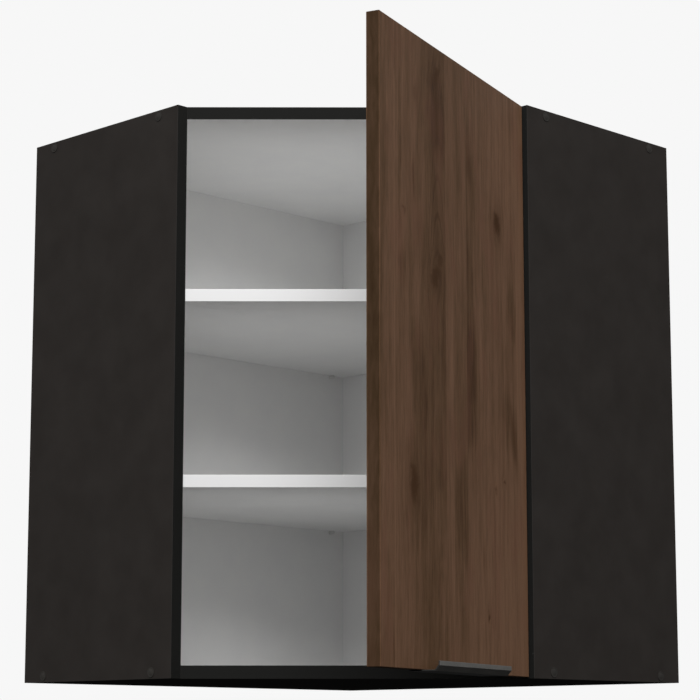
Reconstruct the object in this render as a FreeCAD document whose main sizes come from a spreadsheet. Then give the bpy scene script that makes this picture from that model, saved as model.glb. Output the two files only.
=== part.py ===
"""Corner wall cabinet with a diagonal door, in millimetres.

The row frame has its origin in the corner of the room, at the height of the cabinet's underside. The two
walls are the planes X = 0 and Y = 0, and the cabinet stands in front of them towards +X and -Y. +Z is up.
The door is stored partly open, as photographed. Pieces that ride on it are built in the door's own frame:
origin on the hinge axis, x towards the door's free edge, y out of its show face.
"""
import FreeCAD, Part
import os
import re
import Sketcher

os.makedirs("parts", exist_ok=True)
doc = FreeCAD.newDocument("corner_wall_cabinet")

# ---------------------------------------------------------------- driving dimensions
DIMENSIONS = {
    # carcass
    "wall_length": 600.0,
    "side_depth": 290.0,
    "height": 715.0,
    "board": 16.0,
    "board_edge_radius": 0.4,
    # recessed back sheet on the wall Y = 0
    "sheet": 3.0,
    "sheet_recess": 29.0,
    "groove_depth": 8.0,
    "groove_clearance": 0.1,
    # shelves
    "lower_shelf_underside": 232.5,
    "upper_shelf_underside": 465.0,
    "shelf_clearance": 0.25,
    "shelf_edge_radius": 0.8,
    "shelf_pin_radius": 2.5,
    "shelf_pin_in_board": 9.0,
    "shelf_pin_reach": 8.0,
    "shelf_pin_front": 50.0,
    "shelf_pin_back": 60.0,
    "shelf_pin_corner": 60.0,
    # carcass screws, their caps, the dowels and the back board's screws
    "screw_radius": 3.3,
    "screw_length": 46.0,
    "screw_head_radius": 4.8,
    "screw_head_depth": 3.5,
    "screw_front": 37.0,
    "screw_off_sheet": 7.0,
    "cap_radius": 6.0,
    "cap_rise": 0.8,
    "dowel_radius": 4.0,
    "dowel_half": 12.0,
    "back_dowel_inset": 110.0,
    "back_screw_inset": 90.0,
    # holes in the flush back board for the screws that hold it to its wall
    "wall_hole_radius": 2.5,
    "wall_hole_drop": 39.0,
    "wall_hole_inset": 44.0,
    "wall_hole_pitch": 120.0,
    # door
    "door_thickness": 16.0,
    "door_back_gap": 2.0,
    "door_side_gap": 1.9,
    "door_bottom": 1.5,
    "door_top_gap": 1.5,
    "door_edge_radius": 0.8,
    "rest_angle": 63.5,
    # handle, a folded edge pull below the door
    "handle_length": 205.0,
    "handle_wall": 1.5,
    "handle_flange": 13.0,
    "handle_foot": 15.5,
    "handle_reach": 20.5,
    "handle_lip_low": 6.0,
    "handle_lip_top": 11.0,
    "handle_edge_radius": 0.3,
    "handle_screw_inset": 20.0,
    "handle_screw_radius": 1.6,
    "handle_screw_length": 12.0,
    "handle_screw_head_radius": 3.0,
    # hinges
    "hinge_inset": 100.0,
    "pivot_inset": 4.0,
    "hinge_pin_radius": 1.5,
    "hinge_pin_clearance": 0.05,
    "knuckle_radius": 3.4,
    "knuckle_height": 8.5,
    "arm_half_width": 6.0,
    "knuckle_gap": 0.5,
    "arm_thickness": 2.4,
    "arm_length": 62.0,
    "arm_bend": 5.9,
    "cup_radius": 17.4,
    "cup_clearance": 0.1,
    "cup_inset": 30.0,
    "cup_depth": 12.0,
    "cup_wall": 1.2,
    "cup_flange_half": 30.0,
    "cup_flange_width": 20.0,
    "cup_screw_spread": 24.0,
    "cup_screw_offset": 6.0,
    "notch_half": 17.0,
    "notch_clearance": 0.2,
    "plate_thickness": 2.0,
    "plate_front": 18.0,
    "plate_length": 46.0,
    "plate_half_width": 8.0,
    "plate_wing_from": 12.0,
    "plate_wing_length": 14.0,
    "plate_wing_half": 24.0,
    "plate_screw_spread": 16.0,
    "small_screw_radius": 2.0,
    "small_screw_head_radius": 3.6,
    "small_screw_length": 12.0,
    "small_screw_head_depth": 1.6,
    "cup_flange": 1.0,
    "arm_screw_from": 40.0,
    "arm_screw_head": 2.0,
    # door bumpers
    "bumper_radius": 4.0,
    "bumper_rise": 1.8,
    "bumper_inset": 14.0,
    # hangers in the recess behind the back sheet
    "hanger_width": 18.0,
    "hanger_depth": 20.0,
    "hanger_tall": 52.0,
    "hanger_drop": 20.0,
    "hanger_wall_gap": 5.0,
    "hook_thickness": 2.0,
    "hook_reach": 14.0,
    "hook_tall": 26.0,
    "hanger_screw_spread": 20.0,
    "hanger_screw_bite": 10.0,
    "hook_width": 10.0,
    "hook_wall_gap": 1.0,
}

# Sizes that follow from the driving ones. A name stands for its formula wherever it is used.
WORKED = {
    "half_root": "sqrt(2) / 2",
    "inner_face": "wall_length - board",
    "ceiling": "height - board",
    "front_line": "(inner_face - side_depth) * sqrt(2)",
    "door_width": "front_line + 2 * (door_back_gap - door_side_gap)",
    "door_height": "height - door_bottom - door_top_gap",
    "door_half": "door_thickness / 2",
    "pivot_along": "pivot_inset + door_side_gap - door_back_gap",
    "pivot_out": "door_back_gap + door_half",
    "pivot_x": "inner_face + (pivot_out - pivot_along) * half_root",
    "pivot_y": "-side_depth - (pivot_out + pivot_along) * half_root",
    "door_turn": "225 + rest_angle",
    "door_middle": "door_width / 2 - pivot_inset",
    "hinge_high": "height - hinge_inset",
    "cup_centre": "cup_inset - pivot_inset",
    "cup_floor": "cup_depth - door_half",
    "notch_floor": "cup_floor + notch_clearance",
    "arm_outer": "inner_face - plate_thickness - pivot_x",
    "arm_inner": "arm_outer - arm_thickness",
    "arm_corner": "arm_outer - arm_thickness / 2",
    "arm_slope": "arm_bend / arm_corner",
    "arm_skew": "arm_thickness / 2 * sqrt(1 + arm_slope * arm_slope)",
    "knuckle_low": "arm_half_width + knuckle_gap",
    "knuckle_high": "knuckle_low + knuckle_height",
    "sheet_front": "sheet_recess + sheet",
    "screw_back": "sheet_front + screw_off_sheet",
    "top_middle": "height - board / 2",
    "hanger_base": "ceiling - hanger_drop - hanger_tall",
    "hanger_middle": "hanger_base + hanger_tall / 2",
    "hook_base": "hanger_middle - hook_tall / 2",
    "hook_top": "hanger_middle + hook_tall / 2",
}

sheet_cells = doc.addObject("Spreadsheet::Sheet", "Dims")
for row, (alias, value) in enumerate(DIMENSIONS.items(), start=1):
    sheet_cells.set(f"A{row}", alias)
    sheet_cells.set(f"B{row}", str(value))
    sheet_cells.setAlias(f"B{row}", alias)
doc.recompute()


def formula(text):
    """The text with worked names replaced by their formulas and sheet names by their cells."""

    def cell(found):
        word = found.group(0)
        if word in WORKED:
            return f"({formula(WORKED[word])})"
        if word in DIMENSIONS:
            return f"Dims.{word}"
        return word

    return re.sub(r"[a-z_]+", cell, str(text))


def bind(item, **sizes):
    """Ties properties of an object to the sheet."""
    for name, text in sizes.items():
        item.setExpression(name.replace("__", "."), formula(text))


def value_of(text):
    """The number that a formula gives with the sheet's present sizes."""
    found = sheet_cells.evalExpression(formula(text))
    return float(getattr(found, "Value", found))


# ---------------------------------------------------------------- building blocks
TURN = {
    "+X": FreeCAD.Rotation(FreeCAD.Vector(0, 1, 0), 90),
    "-X": FreeCAD.Rotation(FreeCAD.Vector(0, 1, 0), -90),
    "+Y": FreeCAD.Rotation(FreeCAD.Vector(1, 0, 0), -90),
    "-Y": FreeCAD.Rotation(FreeCAD.Vector(1, 0, 0), 90),
    "+Z": FreeCAD.Rotation(),
}


def put(item, place, along="+Z"):
    """Places an object at three formulas, with its own z axis turned to the named direction."""
    item.Placement = FreeCAD.Placement(FreeCAD.Vector(), TURN[along])
    x, y, z = place
    bind(item, Placement__Base__x=x, Placement__Base__y=y, Placement__Base__z=z)
    return item


def box(name, low, size):
    item = doc.addObject("Part::Box", name)
    bind(item, Length=size[0], Width=size[1], Height=size[2])
    return put(item, low)


def cylinder(name, radius, length, place, along="+Z"):
    item = doc.addObject("Part::Cylinder", name)
    bind(item, Radius=radius, Height=length)
    return put(item, place, along)


def cone(name, radius, end_radius, length, place, along="+Z"):
    item = doc.addObject("Part::Cone", name)
    bind(item, Radius1=radius, Radius2=end_radius, Height=length)
    return put(item, place, along)


def joined(name, pieces):
    item = doc.addObject("Part::MultiFuse", name)
    item.Shapes = pieces
    return item


def cut(name, base, tool):
    item = doc.addObject("Part::Cut", name)
    item.Base = base
    item.Tool = tool
    return item


def group(name, pieces):
    item = doc.addObject("Part::Compound", name)
    item.Links = pieces
    return item


def screw(name, place, along, radius, length, head_radius, head_depth):
    """A countersunk screw whose head lies flush at the place and whose shank runs along the direction."""
    head = cone(f"{name}_head", head_radius, radius, head_depth, place, along)
    shank = cylinder(f"{name}_shank", radius, length, place, along)
    return joined(name, [head, shank])


def small_screw(name, place, along):
    return screw(
        name, place, along,
        "small_screw_radius", "small_screw_length", "small_screw_head_radius", "small_screw_head_depth",
    )


def outline(body, name, plane, points):
    """A closed sketch of straight lines on one of the body's origin planes, each corner tied to its formulas."""
    sketch = body.newObject("Sketcher::SketchObject", name)
    origin_plane = next(p for p in body.Origin.OriginFeatures if p.Role == plane)
    sketch.AttachmentSupport = [(origin_plane, "")]
    sketch.MapMode = "FlatFace"
    corners = [FreeCAD.Vector(value_of(x), value_of(y), 0) for x, y in points]
    for index, start in enumerate(corners):
        sketch.addGeometry(Part.LineSegment(start, corners[(index + 1) % len(corners)]), False)
    for index, (x, y) in enumerate(points):
        join = (index + 1) % len(points)
        sketch.addConstraint(Sketcher.Constraint("Coincident", index, 2, join, 1))
        for kind, text, number in (("DistanceX", x, corners[index].x), ("DistanceY", y, corners[index].y)):
            label = f"{kind}{index}"
            made = sketch.addConstraint(Sketcher.Constraint(kind, -1, 1, index, 1, number))
            sketch.renameConstraint(made, label)
            sketch.setExpression(f"Constraints.{label}", formula(text))
    return sketch


def prism(name, plane, points, length, edge_radius=None, midplane=False):
    """A body padded from an outline, with all its edges rounded where an edge radius is given."""
    body = doc.addObject("PartDesign::Body", name)
    sketch = outline(body, f"{name}_outline", plane, points)
    pad = body.newObject("PartDesign::Pad", f"{name}_pad")
    pad.Profile = sketch
    pad.Midplane = midplane
    bind(pad, Length=length)
    doc.recompute()
    if edge_radius:
        rounding = body.newObject("PartDesign::Fillet", f"{name}_rounding")
        rounding.Base = (pad, [f"Edge{number + 1}" for number in range(len(pad.Shape.Edges))])
        bind(rounding, Radius=edge_radius)
        doc.recompute()
    return body


def rectangle(low_x, low_y, high_x, high_y):
    return [(low_x, low_y), (high_x, low_y), (high_x, high_y), (low_x, high_y)]


def on_door(item):
    """Sets an object of the door's own frame on the hinge axis, turned to the stored opening."""
    item.Placement = FreeCAD.Placement(FreeCAD.Vector(), FreeCAD.Rotation(FreeCAD.Vector(0, 0, 1), 90))
    bind(item, Placement__Base__x="pivot_x", Placement__Base__y="pivot_y", Placement__Rotation__Angle="door_turn")
    return item


nodes = {}


def keep(node, item):
    """Names an object as a piece of the cabinet, to be written under that name."""
    item.Label = node
    nodes[node] = item
    return item


# ---------------------------------------------------------------- fastenings of the carcass
BOARD_LEVELS = {"bottom": "board / 2", "top": "top_middle"}


def carcass_screw(name, place, along):
    head = cylinder(f"{name}_head", "screw_head_radius", "screw_head_depth", place, along)
    shank = cylinder(f"{name}_shank", "screw_radius", "screw_length", place, along)
    return joined(name, [head, shank])


def side_screws_and_caps():
    """Screws through the two side panels into the top and bottom panels, with a cover cap on each head."""
    screws = []
    caps = []
    for level, z in BOARD_LEVELS.items():
        for end, reach in (("back", "screw_back"), ("front", "side_depth - screw_front")):
            right = ("wall_length", f"-({reach})", z)
            left = (reach, "-wall_length", z)
            screws.append(carcass_screw(f"right_{level}_{end}_screw", right, "-X"))
            screws.append(carcass_screw(f"left_{level}_{end}_screw", left, "+Y"))
            caps.append(cylinder(f"right_{level}_{end}_cap", "cap_radius", "cap_rise", right, "+X"))
            caps.append(cylinder(f"left_{level}_{end}_cap", "cap_radius", "cap_rise", left, "-Y"))
    keep("screw_caps", group("cap_group", caps))
    return keep("side_panel_screws", group("side_screw_group", screws))


def back_board_screws():
    """Screws through the flush back board into the ends of the top and bottom panels."""
    places = ("back_screw_inset", "inner_face / 2", "inner_face - back_screw_inset")
    screws = [
        carcass_screw(f"back_{level}_screw_{index}", ("0", f"-({along_wall})", z), "+X")
        for level, z in BOARD_LEVELS.items()
        for index, along_wall in enumerate(places)
    ]
    return keep("back_board_screws", group("back_screw_group", screws))


def dowels():
    """Dowels halfway along each side joint, and down the joint of the left side panel and the back board."""
    length = "2 * dowel_half"
    made = []
    for level, z in BOARD_LEVELS.items():
        right = ("inner_face - dowel_half", "-side_depth / 2", z)
        left = ("side_depth / 2", "-inner_face - dowel_half", z)
        made.append(cylinder(f"right_{level}_dowel", "dowel_radius", length, right, "+X"))
        made.append(cylinder(f"left_{level}_dowel", "dowel_radius", length, left, "+Y"))
    for index, z in enumerate(("back_dowel_inset", "height / 2", "height - back_dowel_inset")):
        place = ("board / 2", "-inner_face - dowel_half", z)
        made.append(cylinder(f"back_board_dowel_{index}", "dowel_radius", length, place, "+Y"))
    return keep("dowels", group("dowel_group", made))


def wall_holes():
    """Two level holes in the flush back board, for the screws that hold the cabinet to the wall X = 0."""
    holes = [
        cylinder(
            f"wall_hole_{index}",
            "wall_hole_radius",
            "board",
            ("0", f"-inner_face + wall_hole_inset + {index} * wall_hole_pitch", "ceiling - wall_hole_drop"),
            "+X",
        )
        for index in range(2)
    ]
    return group("wall_hole_group", holes)


def shelf_pins(shelf, underside):
    """Five pins under a shelf: two in each side panel, and one in the flush back board near the corner."""
    z = f"{underside} - shelf_pin_radius"
    length = "shelf_pin_in_board + shelf_pin_reach"
    front = "side_depth - shelf_pin_front"
    places = {
        "right_back": (("inner_face + shelf_pin_in_board", "-shelf_pin_back", z), "-X"),
        "right_front": (("inner_face + shelf_pin_in_board", f"-({front})", z), "-X"),
        "left_back": (("shelf_pin_back", "-inner_face - shelf_pin_in_board", z), "+Y"),
        "left_front": ((front, "-inner_face - shelf_pin_in_board", z), "+Y"),
        "corner": (("board - shelf_pin_in_board", "-shelf_pin_corner", z), "+X"),
    }
    pins = [
        cylinder(f"{shelf}_pin_{spot}", "shelf_pin_radius", length, place, along)
        for spot, (place, along) in places.items()
    ]
    return keep(f"{shelf}_pins", group(f"{shelf}_pin_group", pins))


# ---------------------------------------------------------------- hangers behind the back sheet
def hanger(side, face, inward, fixing_direction):
    """A hanger on a board's inner face, with its hook towards the wall Y = 0. inward is "+" or "-"."""
    near = f"{face} {inward} hanger_width"
    low = face if inward == "+" else near
    middle = f"{face} {inward} hanger_width / 2"
    block = box(
        f"{side}_hanger_block",
        (low, "-hanger_wall_gap - hanger_depth", "hanger_base"),
        ("hanger_width", "hanger_depth", "hanger_tall"),
    )
    hook = prism(
        f"{side}_hook_body",
        "YZ_Plane",
        [
            ("-hanger_wall_gap - hook_reach", "hook_top - hook_thickness"),
            ("-hook_wall_gap - hook_thickness", "hook_top - hook_thickness"),
            ("-hook_wall_gap - hook_thickness", "hook_base"),
            ("-hook_wall_gap", "hook_base"),
            ("-hook_wall_gap", "hook_top"),
            ("-hanger_wall_gap - hook_reach", "hook_top"),
        ],
        "hook_width",
        midplane=True,
    )
    bind(hook, Placement__Base__x=middle)
    screws = [
        screw(
            f"{side}_hanger_screw_{spot}",
            (near, "-hanger_wall_gap - hanger_depth / 2", f"hanger_middle {offset} hanger_screw_spread"),
            fixing_direction,
            "small_screw_radius",
            "hanger_width + hanger_screw_bite",
            "small_screw_head_radius",
            "small_screw_head_depth",
        )
        for spot, offset in (("low", "-"), ("high", "+"))
    ]
    fixing = keep(f"{side}_hanger_screws", group(f"{side}_hanger_screw_group", screws))
    keep(f"{side}_hanger_hook", hook)
    keep(f"{side}_hanger", cut(f"{side}_hanger_body", block, group(f"{side}_hanger_cuts", [hook, fixing])))
    return fixing


# ---------------------------------------------------------------- hinges
def hinge(level, z):
    """One hinge: arm and plate on the right side panel, cup and pin on the door. Returns its two screw sets."""
    bore_length = "2 * arm_half_width"
    strip = prism(
        f"{level}_arm_strip",
        "XY_Plane",
        [
            ("arm_outer", "arm_length"),
            ("arm_inner", "arm_length"),
            ("arm_inner", "arm_inner * arm_slope - arm_skew"),
            ("0", "-arm_skew"),
            ("0", "arm_skew"),
            ("arm_outer", "arm_outer * arm_slope + arm_skew"),
        ],
        bore_length,
        midplane=True,
    )
    put(strip, ("pivot_x", "pivot_y", z))
    foot = ("pivot_x", "pivot_y", f"{z} - arm_half_width")
    knuckle = cylinder(f"{level}_arm_knuckle", "knuckle_radius", bore_length, foot)
    bore = cylinder(f"{level}_arm_bore", "hinge_pin_radius + hinge_pin_clearance", bore_length, foot)
    screw_y = "pivot_y + arm_screw_from"
    arm_face = "pivot_x + arm_inner"
    head_place = (f"{arm_face} - arm_screw_head", screw_y, z)
    head = cylinder(f"{level}_arm_screw_head", "small_screw_head_radius", "arm_screw_head", head_place, "+X")
    grip = "arm_thickness + plate_thickness"
    shank = cylinder(f"{level}_arm_screw_shank", "small_screw_radius", grip, (arm_face, screw_y, z), "+X")
    arm_screw = keep(f"{level}_arm_screw", joined(f"{level}_arm_screw_body", [head, shank]))
    arm_blank = joined(f"{level}_arm_blank", [strip, knuckle])
    keep(f"{level}_hinge_arm", cut(f"{level}_arm", arm_blank, group(f"{level}_arm_cuts", [bore, arm_screw])))

    plate_x = "inner_face - plate_thickness"
    plate_y = "pivot_y + plate_front"
    wing_y = f"{plate_y} + plate_wing_from"
    base = box(
        f"{level}_plate_base",
        (plate_x, plate_y, f"{z} - plate_half_width"),
        ("plate_thickness", "plate_length", "2 * plate_half_width"),
    )
    wing = box(
        f"{level}_plate_wing",
        (plate_x, wing_y, f"{z} - plate_wing_half"),
        ("plate_thickness", "plate_wing_length", "2 * plate_wing_half"),
    )
    fixings = [
        small_screw(
            f"{level}_plate_screw_{spot}",
            (plate_x, f"{wing_y} + plate_wing_length / 2", f"{z} {offset} plate_screw_spread"),
            "+X",
        )
        for spot, offset in (("low", "-"), ("high", "+"))
    ]
    plate_screws = keep(f"{level}_plate_screws", group(f"{level}_plate_screw_group", fixings))
    plate_blank = joined(f"{level}_plate_blank", [base, wing])
    plate_cuts = group(f"{level}_plate_cuts", [plate_screws, arm_screw])
    keep(f"{level}_mounting_plate", cut(f"{level}_plate", plate_blank, plate_cuts))
    return plate_screws, hinge_cup(level, z)


def hinge_cup(level, z):
    """The hinge's door half in the door's own frame. Returns what is cut from the door for it."""
    back = "-door_half"
    flange_back = f"{back} - cup_flange"
    bowl = cylinder(f"{level}_bowl", "cup_radius", "cup_depth", ("cup_centre", back, z), "+Y")
    rim = cylinder(f"{level}_rim", "cup_radius + cup_wall", "cup_flange", ("cup_centre", flange_back, z), "+Y")
    flange = box(
        f"{level}_flange",
        ("cup_centre - cup_flange_width / 2 + cup_screw_offset", flange_back, f"{z} - cup_flange_half"),
        ("cup_flange_width", "cup_flange", "2 * cup_flange_half"),
    )
    solid = [bowl, rim, flange]
    for spot, start in (("low", f"{z} - knuckle_high"), ("high", f"{z} + knuckle_low")):
        solid.append(cylinder(f"{level}_knuckle_{spot}", "knuckle_radius", "knuckle_height", ("0", "0", start)))
        tongue_low = ("0", "-knuckle_radius / 2", start)
        tongue_size = ("cup_centre", "knuckle_radius", "knuckle_height")
        solid.append(box(f"{level}_tongue_{spot}", tongue_low, tongue_size))
    hollow = cylinder(
        f"{level}_hollow",
        "cup_radius - cup_wall",
        "cup_depth + cup_flange - cup_wall",
        ("cup_centre", flange_back, z),
        "+Y",
    )
    pin_start = ("0", "0", f"{z} - knuckle_high")
    pin = cylinder(f"{level}_pin", "hinge_pin_radius", "2 * (knuckle_high)", pin_start)
    fixings = [
        small_screw(
            f"{level}_cup_screw_{spot}",
            ("cup_centre + cup_screw_offset", flange_back, f"{z} {offset} cup_screw_spread"),
            "+Y",
        )
        for spot, offset in (("low", "-"), ("high", "+"))
    ]
    cup_screws = group(f"{level}_cup_screw_group", fixings)
    cup_blank = joined(f"{level}_cup_blank", solid)
    cup_cuts = group(f"{level}_cup_cuts", [hollow, pin, cup_screws])
    keep(f"{level}_hinge_cup", on_door(cut(f"{level}_cup", cup_blank, cup_cuts)))
    keep(f"{level}_hinge_pin", on_door(group(f"{level}_pin_on_door", [pin])))
    keep(f"{level}_cup_screws", on_door(group(f"{level}_cup_screws_on_door", [cup_screws])))
    hole = cylinder(
        f"{level}_cup_hole", "cup_radius + cup_clearance", "cup_depth + notch_clearance", ("cup_centre", back, z), "+Y"
    )
    notch = box(
        f"{level}_notch",
        ("-pivot_inset", back, f"{z} - notch_half"),
        ("pivot_inset + cup_centre", "cup_depth + notch_clearance", "2 * notch_half"),
    )
    return group(f"{level}_door_cuts", [hole, notch, cup_screws])


# ---------------------------------------------------------------- door, handle and bumpers
def handle_on_door():
    """The folded edge pull: flange on the door's back, foot under its edge, lip in front. Returns its screws."""
    back = "-door_half"
    foot_out = "door_half + handle_foot"
    lip_out = "door_half + handle_reach"
    profile = prism(
        "handle_profile",
        "YZ_Plane",
        [
            (f"{back} - handle_wall", "door_bottom - handle_wall"),
            (foot_out, "door_bottom - handle_wall"),
            (lip_out, "handle_lip_low"),
            (lip_out, "handle_lip_top"),
            (f"{lip_out} - handle_wall", "handle_lip_top"),
            (f"{lip_out} - handle_wall", "handle_lip_low + handle_wall / 2"),
            (f"{foot_out} - handle_wall / 2", "door_bottom"),
            (back, "door_bottom"),
            (back, "door_bottom - handle_wall + handle_flange"),
            (f"{back} - handle_wall", "door_bottom - handle_wall + handle_flange"),
        ],
        "handle_length",
        "handle_edge_radius",
        midplane=True,
    )
    bind(profile, Placement__Base__x="door_middle")
    reach = "(handle_length / 2 - handle_screw_inset)"
    screws = [
        screw(
            f"handle_screw_{spot}",
            (f"door_middle + {share} * {reach}", f"{back} - handle_wall", "door_bottom + handle_flange / 2"),
            "+Y",
            "handle_screw_radius",
            "handle_screw_length",
            "handle_screw_head_radius",
            "handle_wall",
        )
        for spot, share in (("hinge_side", -1), ("middle", 0), ("free_side", 1))
    ]
    fixing = group("handle_screw_group", screws)
    keep("handle", on_door(cut("handle_body", profile, fixing)))
    keep("handle_screws", on_door(group("handle_screws_on_door", [fixing])))
    return fixing


def bumpers():
    """Two soft pads on the door's back, where its free edge meets the top and bottom panels."""
    x = "door_width - pivot_inset - bumper_inset"
    pads = [
        cylinder(f"{level}_bumper", "bumper_radius", "bumper_rise", (x, "-door_half", z), "-Y")
        for level, z in BOARD_LEVELS.items()
    ]
    keep("door_bumpers", on_door(group("bumper_group", pads)))


def door(cuts):
    blank = prism(
        "door_blank",
        "XY_Plane",
        rectangle("-pivot_inset", "-door_half", "door_width - pivot_inset", "door_half"),
        "door_height",
        "door_edge_radius",
    )
    bind(blank, Placement__Base__z="door_bottom")
    keep("door", on_door(cut("door_body", blank, group("door_cuts", cuts))))


# ---------------------------------------------------------------- boards
def board(node, points, length, base, fittings, edge_radius="board_edge_radius"):
    """A board stood or laid at a height, with the holes and grooves of everything that is let into it."""
    blank = prism(f"{node}_blank", "XY_Plane", points, length, edge_radius)
    bind(blank, Placement__Base__z=base)
    keep(node, cut(f"{node}_body", blank, fittings))


def five_sided(gap, back_gap):
    """The outline of a level board: two wall sides, two side panel ends and the diagonal front."""
    return [
        (f"board + {gap}", f"-({back_gap})"),
        (f"inner_face - {gap}", f"-({back_gap})"),
        (f"inner_face - {gap}", f"-side_depth - {gap}"),
        (f"side_depth + {gap}", f"-inner_face + {gap}"),
        (f"board + {gap}", f"-inner_face + {gap}"),
    ]


def back_sheet_and_groove():
    """The thin recessed back sheet, and the groove that holds its four edges."""
    edge = "board - groove_depth"
    span = "inner_face - board + 2 * groove_depth"
    rise = "ceiling - board + 2 * groove_depth"
    keep("right_back_sheet", box("sheet_body", (edge, "-sheet_front", edge), (span, "sheet", rise)))
    loose = "2 * groove_clearance"
    return box(
        "groove",
        (f"{edge} - groove_clearance", "-sheet_front - groove_clearance", f"{edge} - groove_clearance"),
        (f"{span} + {loose}", f"sheet + {loose}", f"{rise} + {loose}"),
    )


def shelf(node, underside):
    blank = prism(
        f"{node}_blank",
        "XY_Plane",
        five_sided("shelf_clearance", "sheet_front + shelf_clearance"),
        "board",
        "shelf_edge_radius",
    )
    bind(blank, Placement__Base__z=underside)
    keep(node, blank)


def carcass(let_in):
    fittings = group("fittings", [back_sheet_and_groove(), *let_in])
    flush = five_sided("0", "0")
    right = rectangle("inner_face", "-side_depth", "wall_length", "0")
    left = rectangle("0", "-wall_length", "side_depth", "-inner_face")
    back = rectangle("0", "-inner_face", "board", "0")
    board("right_side_panel", right, "height", "0", fittings)
    board("left_side_panel", left, "height", "0", fittings)
    board("left_back_board", back, "height", "0", fittings)
    board("bottom_panel", flush, "board", "0", fittings)
    board("top_panel", flush, "board", "ceiling", fittings)


# ---------------------------------------------------------------- the cabinet
lower_plate_screws, lower_door_cuts = hinge("lower", "hinge_inset")
upper_plate_screws, upper_door_cuts = hinge("upper", "hinge_high")
carcass(
    [
        side_screws_and_caps(),
        back_board_screws(),
        dowels(),
        wall_holes(),
        shelf_pins("lower_shelf", "lower_shelf_underside"),
        shelf_pins("upper_shelf", "upper_shelf_underside"),
        hanger("left", "board", "+", "-X"),
        hanger("right", "inner_face", "-", "+X"),
        lower_plate_screws,
        upper_plate_screws,
    ]
)
shelf("lower_shelf", "lower_shelf_underside")
shelf("upper_shelf", "upper_shelf_underside")
door([lower_door_cuts, upper_door_cuts, handle_on_door()])
bumpers()
doc.recompute()

for item in doc.Objects:
    if {"Invalid", "Error"} & set(item.State):
        raise RuntimeError(f"{item.Name} did not build: {item.State}")
for node, item in nodes.items():
    if item.Shape.isNull() or not item.Shape.isValid() or not item.Shape.Solids:
        raise RuntimeError(f"{node} has no valid solid")
for node, item in nodes.items():
    item.Shape.exportStep(f"parts/{node}.step")
    bounds = item.Shape.BoundBox
    print(
        f"{node}: {len(item.Shape.Solids)} solids, {item.Shape.Volume / 1000:.2f} cm3,"
        f" x {bounds.XMin:.1f}..{bounds.XMax:.1f} y {bounds.YMin:.1f}..{bounds.YMax:.1f}"
        f" z {bounds.ZMin:.1f}..{bounds.ZMax:.1f}"
    )
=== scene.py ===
from math import cos, pi, radians, sin, sqrt

import bpy
from mathutils import Matrix, Vector


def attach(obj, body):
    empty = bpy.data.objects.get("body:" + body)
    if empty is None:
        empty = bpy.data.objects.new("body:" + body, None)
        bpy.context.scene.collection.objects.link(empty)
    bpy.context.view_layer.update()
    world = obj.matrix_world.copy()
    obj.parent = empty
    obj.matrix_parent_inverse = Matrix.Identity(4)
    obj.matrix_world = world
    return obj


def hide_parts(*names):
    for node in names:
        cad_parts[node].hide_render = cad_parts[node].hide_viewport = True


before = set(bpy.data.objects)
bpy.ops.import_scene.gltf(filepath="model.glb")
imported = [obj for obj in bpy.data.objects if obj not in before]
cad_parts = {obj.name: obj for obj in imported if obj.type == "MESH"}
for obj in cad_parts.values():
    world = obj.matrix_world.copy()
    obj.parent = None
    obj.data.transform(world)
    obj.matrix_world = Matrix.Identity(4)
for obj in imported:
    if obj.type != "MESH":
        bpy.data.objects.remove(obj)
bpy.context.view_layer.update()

# ---------------------------------------------------------------- places of the cabinet, in metres
WALL_LENGTH = 0.6
SIDE_DEPTH = 0.29
HEIGHT = 0.715
BOARD = 0.016
INNER_FACE = WALL_LENGTH - BOARD
CEILING = HEIGHT - BOARD
SHEET_RECESS = 0.029
# The middles of the bottom and top panels' edges, where screws and pads sit.
EDGE_MIDDLES = (BOARD / 2, HEIGHT - BOARD / 2)
# The diagonal front is the plane where x - y has this value, and the shelves end a little behind it.
FRONT_LINE = INNER_FACE + SIDE_DEPTH
SHELF_LINE = FRONT_LINE - 0.00035
# The hinge pins' line, and on it the frame of the door at rest: x to the free edge, y out of the show face.
HINGE_LINE = Vector((0.588313, -0.299829, 0.0))
CLOSED_DIRECTION = 225
REST_OPENING = 63.5
DOOR_TURN = radians(CLOSED_DIRECTION + REST_OPENING)
DOOR_FRAME = Matrix.Translation(HINGE_LINE) @ Matrix.Rotation(DOOR_TURN, 4, "Z")
DOOR_HALF = BOARD / 2
OUT_OF_BACK = DOOR_FRAME.to_3x3() @ Vector((0, -1, 0))
# The heights of the hinges' middles.
HINGE_HEIGHTS = {"lower": 0.1, "upper": 0.615}
# How far the rules for a board's finish reach past its faces, and past its cut edges.
SKIN = 0.0002
CUT_SKIN = 0.0003


# ---------------------------------------------------------------- writing materials
def display(red, green, blue):
    """A colour as a screen shows it, from 0 to 255, as the light it stands for."""
    light = [1, 1, 1, 1]
    for index, value in enumerate((red, green, blue)):
        share = value / 255
        light[index] = share / 12.92 if share < 0.0404 else ((share + 0.055) / 1.055) ** 2.4
    return light


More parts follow.
